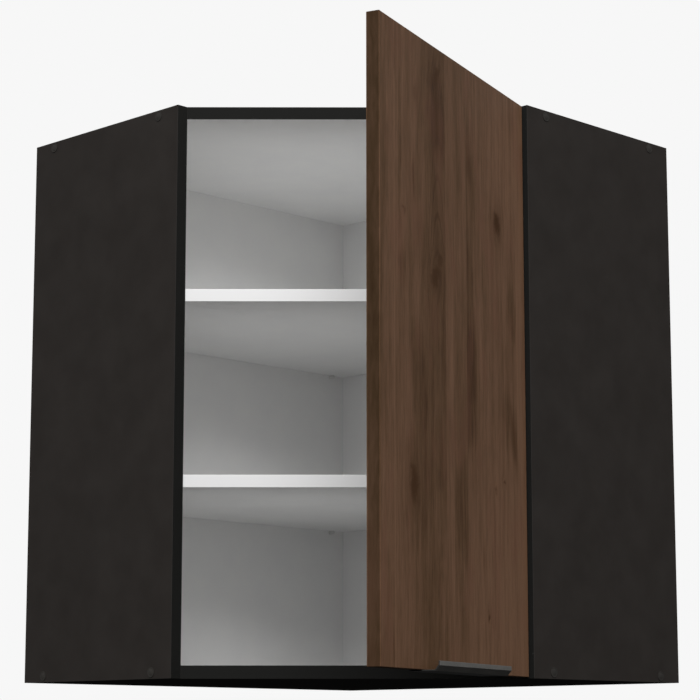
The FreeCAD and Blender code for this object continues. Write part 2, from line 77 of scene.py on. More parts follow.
class Value:
    """A socket. An expression on values adds the Math nodes that work it out."""

    def __init__(self, nodes, socket):
        self.nodes = nodes
        self.socket = socket

    def math(self, operation, *numbers):
        return self.nodes.add("ShaderNodeMath", {"operation": operation}, dict(enumerate(numbers)))

    def __add__(self, other):
        return self.math("ADD", self, other)

    def __sub__(self, other):
        return self.math("SUBTRACT", self, other)

    def __rsub__(self, other):
        return self.math("SUBTRACT", other, self)

    def __mul__(self, other):
        return self.math("MULTIPLY", self, other)

    def __truediv__(self, other):
        return self.math("DIVIDE", self, other)

    def __pow__(self, other):
        return self.math("POWER", self, other)

    def __gt__(self, other):
        return self.math("GREATER_THAN", self, other)

    def __lt__(self, other):
        return self.math("LESS_THAN", self, other)

    __radd__ = __add__

    def most(self, other):
        return self.math("MAXIMUM", self, other)

    def size(self):
        return self.math("ABSOLUTE", self)

    def wave(self):
        return self.math("SINE", self)

    def hill(self):
        """e to the minus the value: one where the value is nought, falling off to nought."""
        return self.math("EXPONENT", self * -1)

    def step(self, low, high):
        """Nought below low, one above high and a smooth rise between them, or the other way round."""
        settings = {"interpolation_type": "SMOOTHSTEP"}
        if low < high:
            return self.nodes.add("ShaderNodeMapRange", settings, {0: self, 1: low, 2: high, 3: 0.0, 4: 1.0})
        return self.nodes.add("ShaderNodeMapRange", settings, {0: self, 1: high, 2: low, 3: 1.0, 4: 0.0})


class Nodes:
    """The node tree of a material or of the world."""

    def __init__(self, tree):
        self.tree = tree

    def add(self, kind, settings, values, output=0):
        """One node: its settings first, then the values or links of its sockets. Gives one of its outputs."""
        made = self.tree.nodes.new(kind)
        for name, value in settings.items():
            if name == "stops":
                for index, (place, colour) in enumerate(value):
                    stops = made.color_ramp.elements
                    stop = stops[index] if index < 2 else stops.new(place)
                    stop.position = place
                    stop.color = colour
            else:
                setattr(made, name, value)
        for socket, value in values.items():
            self.feed(made.inputs[socket], value)
        return Value(self, made.outputs[output])

    def feed(self, socket, value):
        if isinstance(value, Value):
            self.tree.links.new(value.socket, socket)
        else:
            socket.default_value = value

    def blend(self, factor, first, second, mode="MIX"):
        """Two colours mixed."""
        settings = {"data_type": "RGBA", "blend_type": mode}
        return self.add("ShaderNodeMix", settings, {0: factor, 6: first, 7: second}, 2)

    def vector(self, x, y, z):
        return self.add("ShaderNodeCombineXYZ", {}, {0: x, 1: y, 2: z})

    def parts(self, vector):
        separated = self.add("ShaderNodeSeparateXYZ", {}, {0: vector})
        return [Value(self, output) for output in separated.socket.node.outputs]

    def cloud(self, x, y, z, detail=2.0, roughness=0.5):
        """Noise about 0.5, one patch for each unit of the three coordinates."""
        values = {"Vector": self.vector(x, y, z), "Scale": 1.0, "Detail": detail, "Roughness": roughness}
        return self.add("ShaderNodeTexNoise", {}, values)

    def colours(self, value, stops):
        """A colour ramp."""
        return self.add("ShaderNodeValToRGB", {"stops": stops}, {0: value})


class Finish(Nodes):
    """A material of one shader, with the place on the piece at hand in row coordinates."""

    def __init__(self, name, **constants):
        self.material = bpy.data.materials.new(name)
        self.material.use_nodes = True
        super().__init__(self.material.node_tree)
        self.shader = self.tree.nodes["Principled BSDF"]
        for socket, value in constants.items():
            self.shader.inputs[socket.replace("_", " ")].default_value = value
        self.place = self.add("ShaderNodeTexCoord", {}, {}, "Object")
        self.x, self.y, self.z = self.parts(self.place)

    def normal_parts(self):
        return self.parts(self.add("ShaderNodeNewGeometry", {}, {}, "Normal"))

    def colour(self, colour):
        self.feed(self.shader.inputs["Base Color"], colour)

    def roughness(self, value):
        self.feed(self.shader.inputs["Roughness"], value)

    def relief(self, height, depth, strength):
        """A bump of the given depth in metres."""
        bump = self.add("ShaderNodeBump", {}, {"Height": height, "Distance": depth, "Strength": strength})
        self.feed(self.shader.inputs["Normal"], bump)

    def arris(self):
        """One on the rounded edges of the boards, nought on their flat faces."""
        x, y, z = self.normal_parts()
        flat = x.size().most(y.size()).most(z.size()).most((x - y).size() * sqrt(0.5))
        return flat.step(0.998, 0.97)

    def paint(self, *nodes):
        """Gives the material to CAD nodes."""
        for name in nodes:
            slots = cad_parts[name].data.materials
            slots.clear()
            slots.append(self.material)


# ---------------------------------------------------------------- board finishes
def chipboard(finish):
    """Colour and height of bare particle board."""
    x, y, z = finish.x, finish.y, finish.z
    flakes = finish.vector(x * 300, y * 300, z * 620)
    chips = finish.add("ShaderNodeTexVoronoi", {"feature": "F1"}, {"Vector": flakes, "Scale": 1.0}, "Color")
    lightness = finish.parts(chips)[0]
    dust = finish.cloud(x * 1500, y * 1500, z * 1500)
    colour = finish.colours(
        lightness * 0.7 + dust * 0.3,
        [(0.1, display(126, 94, 62)), (0.45, display(168, 134, 94)), (0.9, display(203, 174, 132))],
    )
    return colour, lightness


# The holes for wall screws in the flush back board: across, up and radius, just past the bore.
WALL_HOLES = ((-0.54, 0.66, 0.0027), (-0.42, 0.66, 0.0027))
# White melamine and white lacquer, of one colour.
LINING = ((0.3, display(246, 246, 246)), (0.7, display(249, 249, 248)))


def melamine_board():
    """Black outside, white on the faces that line the compartments, bare on the edges against the walls."""
    finish = Finish("melamine_board", Specular_IOR_Level=0.04)
    x, y, z = finish.x, finish.y, finish.z
    between_sides = (x < INNER_FACE + SKIN) * (y > -(INNER_FACE + SKIN))
    between_boards = (x > BOARD - SKIN) * (z > BOARD - SKIN) * (z < CEILING + SKIN)
    lining = between_sides * between_boards * ((x - y) < FRONT_LINE - CUT_SKIN)
    mottle = finish.cloud(x * 22, y * 22, z * 22, 3.0, 0.6)
    pearl = finish.cloud(x * 1700, y * 1700, z * 1700, 1.0)
    scuff = finish.cloud(x * 40, y * 40, z * 260, 4.0, 0.7).step(0.66, 0.8)
    edge_band = ((x - y) > FRONT_LINE - SKIN) * between_sides
    edge_band = edge_band.most((x > INNER_FACE - SKIN) * (y < -(SIDE_DEPTH - SKIN)))
    edge_band = edge_band.most((y < -(INNER_FACE - SKIN)) * (x > SIDE_DEPTH - SKIN))

    black = finish.colours(mottle, [(0.3, display(37, 34, 32)), (0.7, display(42, 39, 37))])
    black = finish.blend(scuff * 0.25, black, display(58, 56, 53))
    black = finish.blend(edge_band, black, display(25, 25, 24))
    white = finish.colours(mottle, LINING)
    faced = finish.blend(lining, black, white)
    # Rounded edges of the black faces are lighter: edge wear and a painted highlight.
    faced = finish.blend(finish.arris() * (1 - lining) * 0.5, faced, display(64, 62, 60))

    bare_edge = (y > -CUT_SKIN) + (x < CUT_SKIN) * (y < -(INNER_FACE - SKIN))
    near_hole = [((y - across) ** 2 + (z - up) ** 2) ** 0.5 < radius for across, up, radius in WALL_HOLES]
    in_hole = (near_hole[0] + near_hole[1]) * (x < BOARD - CUT_SKIN) * (x > CUT_SKIN)
    bare = (bare_edge + in_hole) > 0.5
    raw, chips = chipboard(finish)
    finish.colour(finish.blend(bare, faced, raw))
    finish.roughness(0.6 + mottle * 0.12 + bare * 0.2 + edge_band * 0.1 - scuff * 0.06)
    finish.relief(pearl * 0.5 + bare * chips * 1.4, 0.00012, 0.35)
    return finish


def white_board():
    """White melamine, with the seam of the edging a little in from the shelf's front edge."""
    finish = Finish("white_shelf_board", Specular_IOR_Level=0.35)
    x, y, z = finish.x, finish.y, finish.z
    mottle = finish.cloud(x * 18, y * 18, z * 18, 3.0, 0.6)
    pearl = finish.cloud(x * 1700, y * 1700, z * 1700, 1.0)
    edging_width = 0.0011
    front = (SHELF_LINE - (x - y)) * sqrt(0.5)
    seam = ((front - edging_width).size() < 0.00016) * 0.4
    edging = front.step(edging_width, edging_width - SKIN)
    board = finish.colours(mottle, LINING)
    board = finish.blend(edging, board, display(200, 200, 200))
    finish.colour(finish.blend(seam, board, display(150, 148, 144)))
    finish.roughness(0.42 + mottle * 0.12 - edging * 0.08)
    finish.relief(pearl - seam * 2, 0.0001, 0.3)
    return finish


def fibre_sheet():
    """Thin fibre board: white lacquer inside, bare brown fibre on the side that faces the wall."""
    finish = Finish("fibre_back_sheet", Specular_IOR_Level=0.3)
    x, y, z = finish.x, finish.y, finish.z
    back = (y > -(SHEET_RECESS + 0.0004)) * 1.0
    fibres = finish.cloud(x * 500, y * 500, z * 500, 4.0, 0.75)
    blotch = finish.cloud(x * 9, y * 9, z * 9, 3.0)
    rollers = finish.cloud(x * 700, y * 700, z * 7, 2.0)
    brown = finish.colours(
        fibres * 0.6 + blotch * 0.4,
        [(0.3, display(112, 82, 55)), (0.5, display(141, 106, 73)), (0.7, display(166, 129, 92))],
    )
    lacquer = finish.colours(blotch, LINING)
    finish.colour(finish.blend(back, lacquer, brown))
    finish.roughness(0.5 + fibres * 0.1 + back * 0.25)
    finish.relief(rollers * (1 - back) * 0.5 + fibres * back, 0.00012, 0.35)
    return finish


# The walnut's figure, in millimetres of the door's own frame: across from the hinge line, and up from the
# cabinet's underside. Staves lie side by side. Each has its two edges, its tone and its cloudy patches, which
# the edges cut off. A patch has its place across and up, its half width, half height and lean, and its tone.
STAVES = (
    (
        237,
        440,
        -0.01,
        (
            (238, 360, 62, 900, 0.0, -0.22),
            (259, 640, 27, 54, 0.0, -0.12),
            (311, 322, 19, 64, 0.1, -0.3),
            (300, 478, 20, 34, 0.0, -0.1),
            (312, 205, 30, 60, 0.0, -0.18),
            (246, 100, 14, 60, 0.0, 0.14),
            (350, 420, 10, 60, 0.0, -0.09),
            (252, 165, 20, 36, 0.2, 0.12),
            (255, 60, 20, 60, 0.0, 0.08),
            (350, 440, 14, 22, 0.0, -0.08),
            (372, 560, 30, 120, 0.0, 0.04),
            (366, 600, 8, 140, 0.0, -0.15),
            (385, 130, 26, 110, 0.0, 0.06),
            (404, 150, 12, 110, 0.0, 0.1),
            (412, 480, 18, 260, 0.0, -0.15),
        ),
    ),
    (216, 237, -0.02, ((225, 60, 30, 330, 0.0, 0.07),)),
    (
        177,
        216,
        -0.03,
        (
            (190, 188, 26, 60, 0.0, -0.22),
            (196, 310, 24, 130, 0.0, -0.07),
            (205, 30, 30, 60, 0.0, 0.05),
        ),
    ),
    (
        147,
        177,
        -0.01,
        (
            (170, 520, 22, 120, 0.0, -0.14),
            (166, 640, 14, 80, 0.0, -0.1),
            (173, 345, 27, 76, 0.0, -0.4),
            (170, 455, 20, 24, 0.0, -0.1),
            (160, 80, 30, 180, 0.0, 0.08),
        ),
    ),
    (
        25,
        147,
        0.0,
        (
            (38, 441, 18, 30, 0.1, -0.2),
            (42, 302, 25, 40, 0.3, -0.2),
            (140, 150, 12, 130, 0.0, 0.09),
            (84, 540, 22, 34, 0.0, -0.08),
            (60, 640, 50, 110, 0.0, 0.06),
            (50, 640, 26, 140, 0.0, 0.06),
            (86, 50, 90, 190, 0.0, 0.14),
            (50, 100, 26, 120, 0.0, 0.06),
        ),
    ),
    # The stave at the hinge side is lightened to make up for the shade on the door's hinge end: painted
    # light.
    (-30, 25, 0.2, ()),
)
# Knots: across, height, half width, half height, lean, strength.
KNOTS = (
    (82, 543, 10, 13, 0.0, 0.85),
    (266, 444, 11, 13, -0.3, 0.8),
    (252, 464, 8, 6, -0.7, 0.5),
    (325, 202, 10, 19, 0.0, 0.85),
    (258, 683, 6, 10, -0.6, 0.6),
    (350, 505, 4, 3, 0.0, 0.35),
    (68, 232, 3, 3, 0.0, 0.6),
    (93, 218, 3, 4, 0.0, 0.45),
    (119, 68, 3, 6, 0.0, 0.7),
)
# Dark streaks: across, height, half width, half height, lean, strength.
STREAKS = (
    (260, 630, 5, 44, 0.0, 0.9),
    (319, 646, 7, 16, 0.0, 0.6),
    (324, 546, 3, 26, 0.0, 1.1),
    (166, 594, 6, 20, 0.0, 0.9),
    (34, 284, 8, 40, 0.22, 0.95),
    (132, 138, 2.2, 24, 0.0, 0.8),
    (182, 138, 3, 28, 0.0, 0.5),
    (379, 22, 2.4, 20, 0.0, 0.8),
    (250, 250, 4, 30, 0.0, 0.4),
    (243, 350, 4, 26, 0.0, 0.35),
)
# Fine pale lines that run the whole height: across, half width, tone.
PALE_LINES = ((374.5, 1.2, 0.26), (366.5, 1.2, 0.08), (354, 1.5, 0.05))
# The heart of the trunk, in metres: its place across, its depth behind the face at the arches' apex, how much
# nearer it comes for each metre down, the height of the apex, and the pitch of the arches.
HEART = 0.2565
HEART_DEPTH = 0.05
HEART_SLOPE = 0.058
APEX_HEIGHT = 0.561
ARCH_PITCH = 0.0026
# The arches keep to their own stave, which begins here, and to two heights: up, reach and strength.
ARCH_STAVE = 0.237
ARCH_HEIGHTS = ((0.52, 0.075, 1.0), (0.11, 0.04, 0.5))
# Past this lies the door's free edge, whose face is painted darker: painted shade.
FREE_EDGE = 0.4045


def marks(places, across, level):
    """For each mark, the point's distance in half widths and half heights, and the mark's tone."""
    for u, v, half_width, half_height, lean, tone in places:
        up = level - v / 1000
        aside = across - u / 1000 - up * lean if lean else across - u / 1000
        yield aside / (half_width / 1000), up / (half_height / 1000), tone


def walnut():
    """Dark walnut with its grain upright, in the door's own frame."""
    finish = Finish("walnut", Specular_IOR_Level=0.05)
    home = -(Matrix.Rotation(-DOOR_TURN, 3, "Z") @ HINGE_LINE)
    to_door = {"Vector": finish.place, "Location": home, "Rotation": (0, 0, -DOOR_TURN)}
    across, depth, height = finish.parts(finish.add("ShaderNodeMapping", {}, to_door))
    across = across + (depth - DOOR_HALF) * 0.5

    # the staves, each with a grain of its own and patches that wander
    roam = (finish.cloud(across * 34, height * 24, 7.1, 3.0, 0.65) - 0.5) * 0.03
    roam = roam + (finish.cloud(across * 9, height * 11, 6.3, 2.0, 0.6) - 0.5) * 0.06
    fray = (finish.cloud(across * 220, height * 5, 4.9, 2.0) - 0.5) * 0.09
    stave_tone = None
    board = None
    for number, (low, high, shade, patches) in enumerate(STAVES):
        here = across.step(low / 1000 - 0.0006, low / 1000 + 0.0006)
        here = here * across.step(high / 1000 + 0.0006, high / 1000 - 0.0006)
        for aside, along, tone in marks(patches, across + roam * 0.5, height + roam + fray):
            shade = (aside * aside + along * along).step(1.7, 0.0) * tone + shade
        stave_tone = here * shade if stave_tone is None else stave_tone + here * shade
        board = here * number if board is None else board + here * (number * 1.7)
    sway = finish.cloud(across * 7, height * 4, board + 0.7, 2.0) - 0.5
    quiver = finish.cloud(across * 60, height * 22, 3.1, 3.0, 0.6) - 0.5
    grit = finish.cloud(across * 110, height * 80, 4.4, 2.0, 0.6) - 0.5
    fibre = across + sway * 0.016 + quiver * 0.004
    level = height + quiver * 0.03

    # the fibres part round each knot
    dark = None
    parted = fibre
    for aside, along, tone in marks(KNOTS, across + grit * 0.016, height + grit * 0.02):
        spread = aside * aside + along * along
        parted = parted + aside * ((spread * 0.25).hill() * (tone * -0.009))
        core = (spread * spread * 0.8).hill() * tone + (spread * 0.22).hill() * (tone * 0.34)
        dark = core if dark is None else dark.most(core)
    for aside, along, tone in marks(STREAKS, across + quiver * 0.007, level):
        dark = dark.most((aside * aside + along * along).hill() * (tone * 0.7))

    # growth rings about the heart, then fibres, flecks, broad bands, pores and arches
    off_heart = parted - HEART
    heart_depth = (height - APEX_HEIGHT) * HEART_SLOPE + HEART_DEPTH
    ring = (off_heart * off_heart + heart_depth * heart_depth) ** 0.5
    lines = finish.cloud(ring * 130, height * 4, board + 5.0, 5.0, 0.66) - 0.5
    strands = finish.cloud(parted * 150, height * 5, board + 2.5, 4.0, 0.66) - 0.5
    flecks = finish.cloud(parted * 420, height * 40, board + 9.0, 3.0, 0.6) - 0.5
    broad = finish.cloud(fibre * 26, height * 6, board + 1.0, 3.0, 0.6) - 0.5
    pores = finish.cloud(ring * 1500, height * 60, 2.0, 2.0, 0.5).step(0.58, 0.72)
    arch = (ring - HEART_DEPTH + quiver * 0.0004) * (2 * pi / ARCH_PITCH)
    shown = [(((level - up) / reach) ** 2).hill() * strength for up, reach, strength in ARCH_HEIGHTS]
    arches = (arch + pi / 2).wave().step(0.6, 1.0) * off_heart.size().step(0.036, 0.018)
    arches = arches * (across > ARCH_STAVE) * (shown[0] + shown[1])

    tone = lines * 0.55 + strands * 0.6 + flecks * 0.6 + broad * 0.34 + stave_tone + 0.565
    for u, half_width, shade in PALE_LINES:
        tone = tone + (((across - u / 1000) / (half_width / 1000)) ** 2).hill() * shade
    tone = tone - arches * 0.16 - pores * 0.05
    wood = finish.colours(
        tone,
        [
            (0.0, display(50, 29, 14)),
            (0.18, display(66, 44, 26)),
            (0.38, display(79, 57, 38)),
            (0.56, display(91, 66, 48)),
            (0.66, display(97, 71, 53)),
            (0.8, display(104, 77, 58)),
        ],
    )
    red_patch = finish.cloud(across * 26, height * 9, 8.0, 2.0).step(0.5, 0.68)
    wood = finish.blend(red_patch * 0.25, wood, display(95, 62, 48))
    wood = finish.blend(dark * 0.85, wood, display(58, 36, 17))
    # Painted shade: the face of the door's free edge is darkened.
    painted_shade_free_edge = (across > FREE_EDGE) * (depth.size() < DOOR_HALF - 0.0004)
    finish.colour(finish.blend(painted_shade_free_edge, wood, (0.42, 0.44, 0.43, 1), "MULTIPLY"))
    finish.roughness(0.55 + flecks * 0.2 - pores * 0.04 + dark * 0.05)
    finish.relief(flecks * 0.6 + lines * 0.4 - pores * 0.8, 0.00018, 0.4)
    return finish


# ---------------------------------------------------------------- metal, plastic and small finishes
def black_metal():
    """Matt black anodised aluminium, brushed along the handle."""
    finish = Finish("black_handle_metal", Specular_IOR_Level=0.5, Metallic=0.35)
    along = finish.x * cos(DOOR_TURN) + finish.y * sin(DOOR_TURN)
    through = finish.y * cos(DOOR_TURN) - finish.x * sin(DOOR_TURN)
    facing = finish.normal_parts()
    # The profile's end faces are painted near black: painted shade. They are also made rougher.
    painted_shade_ends = (facing[0] * cos(DOOR_TURN) + facing[1] * sin(DOOR_TURN)).size().step(0.6, 0.9)
    brushing = finish.cloud(along * 25, through * 3200, finish.z * 3200, 2.0, 0.6)
    clouding = finish.cloud(along * 30, through * 60, finish.z * 60, 2.0)
    sheen = brushing * 0.6 + clouding * 0.4
    metal = finish.colours(sheen, [(0.3, display(74, 73, 70)), (0.7, display(96, 94, 90))])
    finish.colour(finish.blend(painted_shade_ends, metal, display(24, 24, 23)))
    finish.roughness(0.38 + brushing * 0.14 + painted_shade_ends * 0.3)
    finish.relief(brushing, 0.00004, 0.4)
    return finish


def plated_steel(name, low, high, base_roughness):
    """Bright plated steel, with faint handling marks."""
    finish = Finish(name, Metallic=1.0)
    x, y, z = finish.x, finish.y, finish.z
    mottle = finish.cloud(x * 160, y * 160, z * 160, 3.0, 0.6)
    marks = finish.cloud(x * 300, y * 900, z * 2600, 3.0, 0.7)
    finish.colour(finish.colours(mottle, [(0.3, low), (0.7, high)]))
    finish.roughness(base_roughness + marks * 0.16 + mottle * 0.08)
    finish.relief(marks, 0.00003, 0.3)
    return finish


def moulded(name, low, high, base_roughness, specular):
    """Moulded plastic with a fine spark texture."""
    finish = Finish(name, Specular_IOR_Level=specular)
    x, y, z = finish.x, finish.y, finish.z
    flow = finish.cloud(x * 70, y * 70, z * 70, 2.0)
    spark = finish.cloud(x * 3800, y * 3800, z * 3800, 1.0)
    finish.colour(finish.colours(flow, [(0.3, low), (0.7, high)]))
    finish.roughness(base_roughness + spark * 0.12)
    finish.relief(spark, 0.00004, 0.35)
    return finish


def beech():
    """Plain beech with short darker flecks."""
    finish = Finish("beech_dowel")
    x, y, z = finish.x, finish.y, finish.z
    flecks = finish.cloud(x * 600, y * 600, z * 2400, 2.0)
    grain = finish.cloud(x * 240, y * 240, z * 1900, 3.0)
    figure = grain * 0.6 + flecks * 0.4
    finish.colour(finish.colours(figure, [(0.3, display(176, 133, 88)), (0.7, display(214, 176, 128))]))
    finish.roughness(0.6 + grain * 0.15)
    finish.relief(grain, 0.00008, 0.4)
    return finish


board_finish = melamine_board()
shelf_finish = white_board()
sheet_finish = fibre_sheet()
door_finish = walnut()
handle_finish = black_metal()
nickel = plated_steel("nickel_plate", display(186, 184, 178), display(205, 203, 198), 0.2)
zinc = plated_steel("zinc_plate", display(178, 178, 176), display(198, 198, 198), 0.28)
dark_zinc = plated_steel("blackened_steel", display(52, 51, 50), display(70, 69, 67), 0.32)
cap_plastic = moulded("black_cap_plastic", display(37, 35, 33), display(44, 42, 39), 0.6, 0.15)
pin_nylon = moulded("white_pin_nylon", display(226, 226, 224), display(236, 236, 234), 0.42, 0.3)
hanger_plastic = moulded("white_hanger_plastic", display(218, 218, 214), display(232, 232, 229), 0.4, 0.4)
pad_rubber = moulded("clear_pad_rubber", display(205, 205, 200), display(224, 224, 219), 0.3, 0.45)
dowel_wood = beech()

board_finish.paint("right_side_panel", "left_side_panel", "left_back_board", "top_panel", "bottom_panel")
shelf_finish.paint("lower_shelf", "upper_shelf")
sheet_finish.paint("right_back_sheet")
door_finish.paint("door")
handle_finish.paint("handle")
dowel_wood.paint("dowels")
zinc.paint("side_panel_screws", "left_hanger_hook", "right_hanger_hook")
for level in HINGE_HEIGHTS:
    nickel.paint(*(f"{level}_{part}" for part in ("hinge_arm", "mounting_plate", "hinge_cup", "hinge_pin")))


# ---------------------------------------------------------------- modelling helpers
def start(name, add, **sizes):
    """A new primitive, alone in the selection."""
    bpy.ops.object.select_all(action="DESELECT")
    add(**sizes)
    piece = bpy.context.object
    piece.name = name
    piece.data.name = name
    return piece


def apply_placement():
    bpy.ops.object.transform_apply(location=True, rotation=True, scale=True)


def start_disc(name, vertices, radius, low, high):
    """An upright cylinder between two heights, with its placement applied."""
    sizes = {"vertices": vertices, "radius": radius, "depth": high - low}
    middle = (0, 0, (low + high) / 2)
    disc = start(name, bpy.ops.mesh.primitive_cylinder_add, location=middle, **sizes)
    apply_placement()
    return disc


def start_block(name, x, y, z, middle=(0, 0, 0), turn=0.0):
    """A box of these three sizes, with its placement applied."""
    block = start(name, bpy.ops.mesh.primitive_cube_add, size=1)
    block.location = middle
    block.scale = (x, y, z)
    block.rotation_euler.z = turn
    apply_placement()
    return block


def pick(piece, test):
    """Goes into edit mode with those faces selected whose centre and normal pass the test."""
    bpy.ops.object.mode_set(mode="OBJECT")
    bpy.context.tool_settings.mesh_select_mode = (False, False, True)
    for part in (piece.data.vertices, piece.data.edges):
        part.foreach_set("select", [False] * len(part))
    for face in piece.data.polygons:
        face.select = test(face.center, face.normal)
    bpy.ops.object.mode_set(mode="EDIT")


def draw_out(x, y, z, shrink=1.0):
    """Extrudes the picked faces and scales their new end about its middle."""
    bpy.ops.mesh.extrude_region_move(TRANSFORM_OT_translate={"value": (x, y, z)})
    if shrink != 1.0:
        bpy.ops.transform.resize(value=(shrink, shrink, shrink))


def leave():
    """Back to object mode."""
    bpy.ops.object.mode_set(mode="OBJECT")


def apply_modifier(piece, kind, **settings):
    """Adds one modifier, with its settings, and applies it."""
    bpy.ops.object.select_all(action="DESELECT")
    piece.select_set(True)
    bpy.context.view_layer.objects.active = piece
    modifier = piece.modifiers.new(kind.lower(), kind)
    for name, value in settings.items():
        setattr(modifier, name, value)
    bpy.ops.object.modifier_apply(modifier=modifier.name)


def bevel(piece, width, segments, sharper_than):
    """Bevels the edges that turn by more than this many degrees."""
    limit = {"limit_method": "ANGLE", "angle_limit": radians(sharper_than)}
    apply_modifier(piece, "BEVEL", width=width, segments=segments, **limit)


def smooth():
    """Shades the active piece smooth, but for its sharp edges."""
    bpy.ops.object.shade_smooth_by_angle(angle=radians(35))


def soften(piece, width, segments=2):
    """Rounds the edges that are sharper than 30 degrees."""
    bevel(piece, width, segments, 30)
    smooth()


def remove(piece):
    bpy.data.objects.remove(piece)


def set_out(pattern, name, places, body, slot, finish, *nodes):
    """Copies a pattern to each place, joins the copies and lets them stand for the CAD nodes."""
    copies = []
    for place in places:
        copy = pattern.copy()
        copy.data = pattern.data.copy()
        bpy.context.scene.collection.objects.link(copy)
        copy.matrix_world = place
        copies.append(copy)
    bpy.ops.object.select_all(action="DESELECT")
    for copy in copies:
        copy.select_set(True)
    bpy.context.view_layer.objects.active = copies[0]
    if len(copies) > 1:
        bpy.ops.object.join()
    apply_placement()
    piece = bpy.context.object
    piece.name = name
    piece.data.name = name
    piece.data.materials.clear()
    piece.data.materials.append(finish.material)
    if nodes:
        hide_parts(*nodes)
    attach(piece, body)


def towards(place, direction, spin=0.0):
    """A placement whose local +Z points along the direction."""
    turn = Vector(direction).to_track_quat("Z", "Y").to_matrix().to_4x4()
    return Matrix.Translation(place) @ turn @ Matrix.Rotation(spin, 4, "Z")


# ---------------------------------------------------------------- small fittings
# How far the screws of the side panels and of the flush back board stand from the room's corner.
SIDE_SCREWS = (0.039, 0.253)
BACK_SCREWS = (0.09, 0.292, 0.494)
# The height of the pins' middles under each shelf, and how deep a pin's foot lies in its board.
SHELF_PINS = {"lower_shelf": 0.23, "upper_shelf": 0.4625}
PIN_IN_BOARD = 0.009
# The hangers' width along X, and their middles but for the place along X.
HANGER_WIDTH = 0.018
HANGER_MIDDLE = Vector((0.0, -0.015, 0.653))
# The hinges' plates lie on the side panel, and the arms on the plates.
PLATE_THICKNESS = 0.002
ARM_THICKNESS = 0.0024


def cross_recess(head, half_width, depth):
    """Sinks a cross into the top of a screw head, at height nought."""
    for index, turn in enumerate((0, pi / 2)):
        blade = start_block(f"blade_{index}", half_width * 2, half_width * 0.42, depth * 2, turn=turn)
        pick(blade, lambda centre, normal: normal.z < -0.9)
        bpy.ops.transform.resize(value=(0.45, 0.45, 1))
        leave()
        apply_modifier(head, "BOOLEAN", operation="DIFFERENCE", object=blade, solver="EXACT")
        remove(blade)


def countersunk_screw(name, shank, length, head, head_depth):
    """A countersunk screw with its head's face at height nought and its point down."""
    screw = start_disc(name, vertices=32, radius=head, low=head_depth * -0.2, high=0)
    pick(screw, lambda centre, normal: normal.z < -0.9)
    draw_out(0, 0, -head_depth * 0.8, shank / head)
    draw_out(0, 0, head_depth - length + shank)
    draw_out(0, 0, -shank, 0.25)
    leave()
    bevel(screw, head * 0.05, 2, 60)
    cross_recess(screw, head * 0.55, head * 0.45)
    smooth()
    return screw


def pan_screw(name, head, rise, shank, length):
    """A pan-head screw that stands on height nought."""
    screw = start_disc(name, vertices=32, radius=head, low=0, high=rise)
    pick(screw, lambda centre, normal: normal.z > 0.9)
    bpy.ops.transform.resize(value=(0.9, 0.9, 1))
    pick(screw, lambda centre, normal: normal.z < -0.9)
    bpy.ops.mesh.inset(thickness=head - shank)
    draw_out(0, 0, -length)
    leave()
    bevel(screw, rise * 0.22, 3, 50)
    screw.data.transform(Matrix.Translation((0, 0, -rise)))
    cross_recess(screw, head * 0.55, rise * 0.6)
    screw.data.transform(Matrix.Translation((0, 0, rise)))
    smooth()
    return screw


def cover_caps():
    """Caps over the screws of the side panels: a low dome with a pressed ring."""
    cap = start_disc("cap", vertices=40, radius=0.006, low=0, high=0.0008)
    pick(cap, lambda centre, normal: normal.z > 0.9)
    bpy.ops.mesh.inset(thickness=0.0006)
    bpy.ops.mesh.inset(thickness=0.0009, depth=-0.00025)
    bpy.ops.mesh.inset(thickness=0.0004, depth=0.0002)
    pick(cap, lambda centre, normal: normal.z < -0.9)
    bpy.ops.mesh.inset(thickness=0.002)
    draw_out(0, 0, -0.0022, 0.8)
    leave()
    soften(cap, 0.00012)
    places = []
    for z in EDGE_MIDDLES:
        for reach in SIDE_SCREWS:
            places.append(towards((WALL_LENGTH, -reach, z), (1, 0, 0)))
            places.append(towards((reach, -WALL_LENGTH, z), (0, -1, 0)))
    set_out(cap, "cover_caps", places, "cabinet", "cap_plastic", cap_plastic, "screw_caps")
    remove(cap)


def back_board_screws():
    """Screws whose flat heads lie flush in the outer face of the flush back board."""
    screw = start_disc("carcass_screw", vertices=32, radius=0.0048, low=-0.0035, high=0)
    pick(screw, lambda centre, normal: normal.z < -0.9)
    bpy.ops.mesh.inset(thickness=0.0015)
    draw_out(0, 0, -0.0405)
    draw_out(0, 0, -0.002, 0.3)
    leave()
    bevel(screw, 0.0003, 2, 60)
    cross_recess(screw, 0.0026, 0.0022)
    smooth()
    places = [
        towards((0, -y, z), (-1, 0, 0), spin)
        for z, spins in zip(EDGE_MIDDLES, ((0.3, 1.1, 0.7), (0.9, 0.2, 1.3)))
        for y, spin in zip(BACK_SCREWS, spins)
    ]
    name = "back_board_screws"
    set_out(screw, f"{name}_crossed", places, "cabinet", "fastener_steel", dark_zinc, name)
    remove(screw)


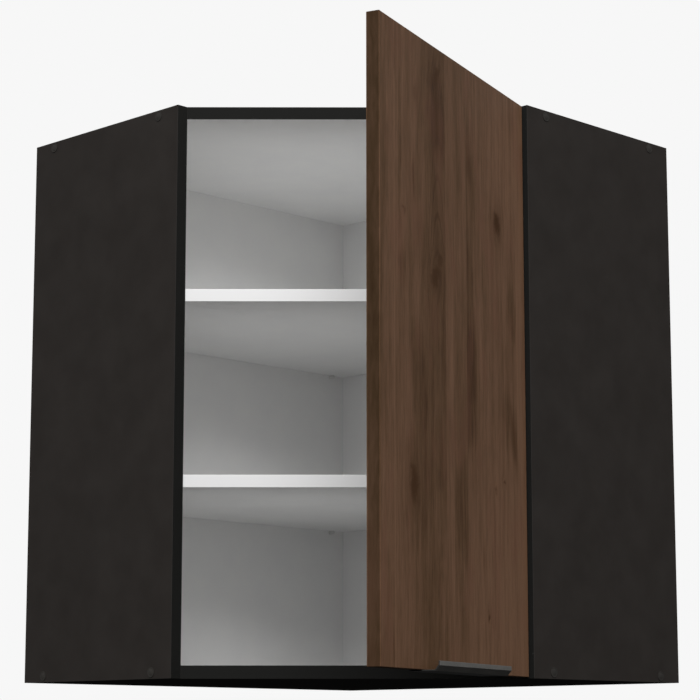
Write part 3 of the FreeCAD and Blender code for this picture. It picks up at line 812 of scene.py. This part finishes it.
def countersunk_screws():
    """Small countersunk screws of the handle, the cups, the plates and the hangers."""
    sizes = {"shank": 0.0016, "length": 0.012, "head": 0.003, "head_depth": 0.0015}
    handle_screw = countersunk_screw("handle_screw", **sizes)
    door_middle = 0.20399
    spread = 0.0825
    leaf_face = -DOOR_HALF - 0.0015
    places = [
        towards(DOOR_FRAME @ Vector((door_middle + share * spread, leaf_face, 0.008)), OUT_OF_BACK, spin)
        for share, spin in ((-1, 0.4), (0, 1.2), (1, 0.9))
    ]
    name = "handle_screws"
    set_out(handle_screw, f"{name}_crossed", places, "door", "fastener_steel", dark_zinc, name)
    remove(handle_screw)

    sizes = {"shank": 0.002, "length": 0.012, "head": 0.0036, "head_depth": 0.0016}
    small_screw = countersunk_screw("small_screw", **sizes)
    flange_face = -DOOR_HALF - 0.001
    plate_face = INNER_FACE - PLATE_THICKNESS
    plate_y = HINGE_LINE.y + 0.037
    for level, z in HINGE_HEIGHTS.items():
        cups = []
        plates = []
        for side in (-1, 1):
            cup = DOOR_FRAME @ Vector((0.032, flange_face, z + side * 0.024))
            cups.append(towards(cup, OUT_OF_BACK, side * 0.6))
            plates.append(towards((plate_face, plate_y, z + side * 0.016), (-1, 0, 0), side * 0.8))
        name = f"{level}_cup_screws"
        set_out(small_screw, f"{name}_crossed", cups, "door", "fastener_steel", nickel, name)
        name = f"{level}_plate_screws"
        set_out(small_screw, f"{name}_crossed", plates, "cabinet", "fastener_steel", nickel, name)
    remove(small_screw)

    sizes["length"] = 0.028
    long_screw = countersunk_screw("long_screw", **sizes)
    left_face = BOARD + HANGER_WIDTH
    right_face = INNER_FACE - HANGER_WIDTH
    for side, x, out in (("left", left_face, 1), ("right", right_face, -1)):
        heads = HANGER_MIDDLE + Vector((x, 0, 0))
        places = [towards(heads + Vector((0, 0, up * 0.02)), (out, 0, 0), up * 0.5) for up in (-1, 1)]
        name = f"{side}_hanger_screws"
        set_out(long_screw, f"{name}_crossed", places, "cabinet", "fastener_steel", zinc, name)
    remove(long_screw)


def shelf_pins():
    """Moulded shelf pins with a rounded nose and a groove."""
    pin = start_disc("pin", vertices=28, radius=0.0025, low=0, high=0.017)
    for height in (0.0102, 0.011):
        bpy.ops.object.mode_set(mode="EDIT")
        bpy.ops.mesh.select_all(action="SELECT")
        bpy.ops.mesh.bisect(plane_co=(0, 0, height), plane_no=(0, 0, 1))
    pick(pin, lambda centre, normal: 0.0103 < centre.z < 0.0109 and abs(normal.z) < 0.5)
    bpy.ops.mesh.extrude_region_shrink_fatten(TRANSFORM_OT_shrink_fatten={"value": -0.0003})
    leave()
    soften(pin, 0.0006, 3)
    side_foot = INNER_FACE + PIN_IN_BOARD
    back_foot = BOARD - PIN_IN_BOARD
    for shelf, z in SHELF_PINS.items():
        places = [
            towards((side_foot, -0.06, z), (-1, 0, 0)),
            towards((side_foot, -0.24, z), (-1, 0, 0)),
            towards((0.06, -side_foot, z), (0, 1, 0)),
            towards((0.24, -side_foot, z), (0, 1, 0)),
            towards((back_foot, -0.06, z), (1, 0, 0)),
        ]
        name = f"{shelf}_pins"
        set_out(pin, f"{name}_moulded", places, "cabinet", "pin_plastic", pin_nylon, name)
    remove(pin)


def door_pads():
    """Two soft domed pads on the door's back."""
    pad = start_disc("pad", vertices=32, radius=0.004, low=0, high=0.0018)
    pick(pad, lambda centre, normal: normal.z > 0.9)
    bpy.ops.transform.resize(value=(0.7, 0.7, 1))
    leave()
    soften(pad, 0.0006, 3)
    across = 0.39798
    places = [towards(DOOR_FRAME @ Vector((across, -DOOR_HALF, z)), OUT_OF_BACK) for z in EDGE_MIDDLES]
    set_out(pad, "domed_door_pads", places, "door", "bumper_rubber", pad_rubber, "door_bumpers")
    remove(pad)


def hangers():
    """Moulded hanger housings with a recessed, ribbed face towards the wall."""
    half_width = HANGER_WIDTH / 2
    level = HANGER_MIDDLE.z
    for side, x in (("left", BOARD + half_width), ("right", INNER_FACE - half_width)):
        middle = HANGER_MIDDLE + Vector((x, 0, 0))
        housing = start_block(f"{side}_hanger_housing", HANGER_WIDTH, 0.02, 0.052, middle)
        bpy.ops.object.mode_set(mode="EDIT")
        for up in (-0.018, -0.015, 0.015, 0.018):
            bpy.ops.mesh.select_all(action="SELECT")
            bpy.ops.mesh.bisect(plane_co=(0, 0, level + up), plane_no=(0, 0, 1))
        pick(housing, lambda centre, normal: normal.y > 0.9 and abs(centre.z - level) > 0.019)
        bpy.ops.mesh.inset(thickness=0.0014, use_individual=True)
        draw_out(0, -0.004, 0)
        pick(housing, lambda centre, normal: abs(normal.z) > 0.9 and (centre.z - level) * normal.z > 0.025)
        bpy.ops.mesh.inset(thickness=0.002, use_individual=True)
        bpy.ops.mesh.inset(thickness=0.0006, depth=-0.001, use_individual=True)
        leave()
        soften(housing, 0.0005)
        name = f"{side}_hanger"
        here = [Matrix.Identity(4)]
        set_out(housing, f"{name}_moulded", here, "cabinet", "hanger_plastic", hanger_plastic, name)
        remove(housing)


def hinge_details():
    """Arm screw, adjusting screw, stiffening ribs and the release tab of each hinge arm."""
    arm_face = INNER_FACE - PLATE_THICKNESS - ARM_THICKNESS
    arm_screw = pan_screw("arm_screw", head=0.0036, rise=0.002, shank=0.002, length=0.0044)
    adjuster = pan_screw("adjuster", head=0.0029, rise=0.0012, shank=0.0012, length=0.001)
    rib = start_block("rib", 0.0012, 0.046, 0.001)
    pick(rib, lambda centre, normal: normal.x < -0.9)
    bpy.ops.transform.resize(value=(1, 0.97, 0.6))
    leave()
    soften(rib, 0.0002)
    tab = start_block("tab", 0.0014, 0.006, 0.0072)
    pick(tab, lambda centre, normal: normal.x < -0.9)
    bpy.ops.mesh.inset(thickness=0.001)
    draw_out(-0.0006, 0, 0, 0.8)
    leave()
    soften(tab, 0.0003)
    for level, z in HINGE_HEIGHTS.items():
        at = Vector((arm_face, HINGE_LINE.y, z))
        name = f"{level}_arm_screw"
        seat = [towards(at + Vector((0, 0.04, 0)), (-1, 0, 0), 0.5)]
        set_out(arm_screw, f"{name}_crossed", seat, "cabinet", "fastener_steel", nickel, name)
        seat = [towards(at + Vector((0, 0.024, 0)), (-1, 0, 0), 1.1)]
        set_out(adjuster, f"{level}_adjusting_screw", seat, "cabinet", "fastener_steel", dark_zinc)
        ribs = [Matrix.Translation(at + Vector((-0.0005, 0.0375, up * 0.0053))) for up in (-1, 1)]
        set_out(rib, f"{level}_arm_ribs", ribs, "cabinet", "hinge_steel", nickel)
        seat = [Matrix.Translation(at + Vector((-0.0006, 0.055, 0)))]
        set_out(tab, f"{level}_release_tab", seat, "cabinet", "hinge_steel", dark_zinc)
    for pattern in (arm_screw, adjuster, rib, tab):
        remove(pattern)


cover_caps()
back_board_screws()
countersunk_screws()
shelf_pins()
door_pads()
hangers()
hinge_details()


# ---------------------------------------------------------------- studio
def pale_floor():
    """The floor of the room, well below the cabinet."""
    floor = start("pale_floor", bpy.ops.mesh.primitive_plane_add, size=60, location=(0, 0, -1.45))
    apply_placement()
    finish = Finish("pale_floor_paint", Specular_IOR_Level=0.1)
    speckle = finish.cloud(finish.x * 3, finish.y * 3, 0.0, 4.0)
    finish.colour(finish.colours(speckle, [(0.3, display(240, 240, 240)), (0.7, display(243, 243, 243))]))
    finish.roughness(0.8 + speckle * 0.1)
    floor.data.materials.append(finish.material)
    floor.visible_diffuse = False
    floor.visible_glossy = False


def studio_world():
    """A white backdrop to the camera, and soft light that falls off below the cabinet."""
    world = bpy.data.worlds.new("soft_studio")
    world.use_nodes = True
    bpy.context.scene.world = world
    nodes = Nodes(world.node_tree)
    direction = nodes.add("ShaderNodeTexCoord", {}, {}, "Generated")
    height = nodes.parts(direction)[2]
    light = nodes.colours(
        height * 0.5 + 0.5,
        [
            (0.49, (0.025, 0.025, 0.025, 1)),
            (0.53, (0.66, 0.66, 0.66, 1)),
            (0.8, (0.7, 0.7, 0.7, 1)),
        ],
    )
    seen = nodes.add("ShaderNodeLightPath", {}, {}, "Is Camera Ray")
    backdrop = display(247, 247, 247)
    background = world.node_tree.nodes["Background"]
    nodes.feed(background.inputs["Color"], nodes.blend(seen, light, backdrop))
    background.inputs["Strength"].default_value = 1.0


def soft_light(name, place, aim, size, power):
    """A round lamp of this diameter in metres and this power in watts."""
    data = bpy.data.lights.new(name, "AREA")
    data.shape = "DISK"
    data.size = size
    data.energy = power
    lamp = bpy.data.objects.new(name, data)
    lamp.matrix_world = towards(place, Vector(place) - Vector(aim))
    bpy.context.scene.collection.objects.link(lamp)


def camera():
    """The photograph's viewpoint: before the diagonal and a little below the cabinet, looking slightly up."""
    data = bpy.data.cameras.new("viewpoint")
    data.sensor_width = 36
    data.lens = 114.07
    data.shift_y = 0.05
    data.clip_end = 100
    view = bpy.data.objects.new("viewpoint", data)
    view.location = (2.3421, -2.3591, -0.0771)
    view.rotation_euler = (radians(90 + 9.175), 0, radians(44.81))
    bpy.context.scene.collection.objects.link(view)
    bpy.context.scene.camera = view


pale_floor()
studio_world()
soft_light("front_light", place=(3.6, -3.8, 3.15), aim=(0.35, -0.35, 0.3), size=3.5, power=368)
camera()
bpy.context.scene.view_settings.view_transform = "Standard"
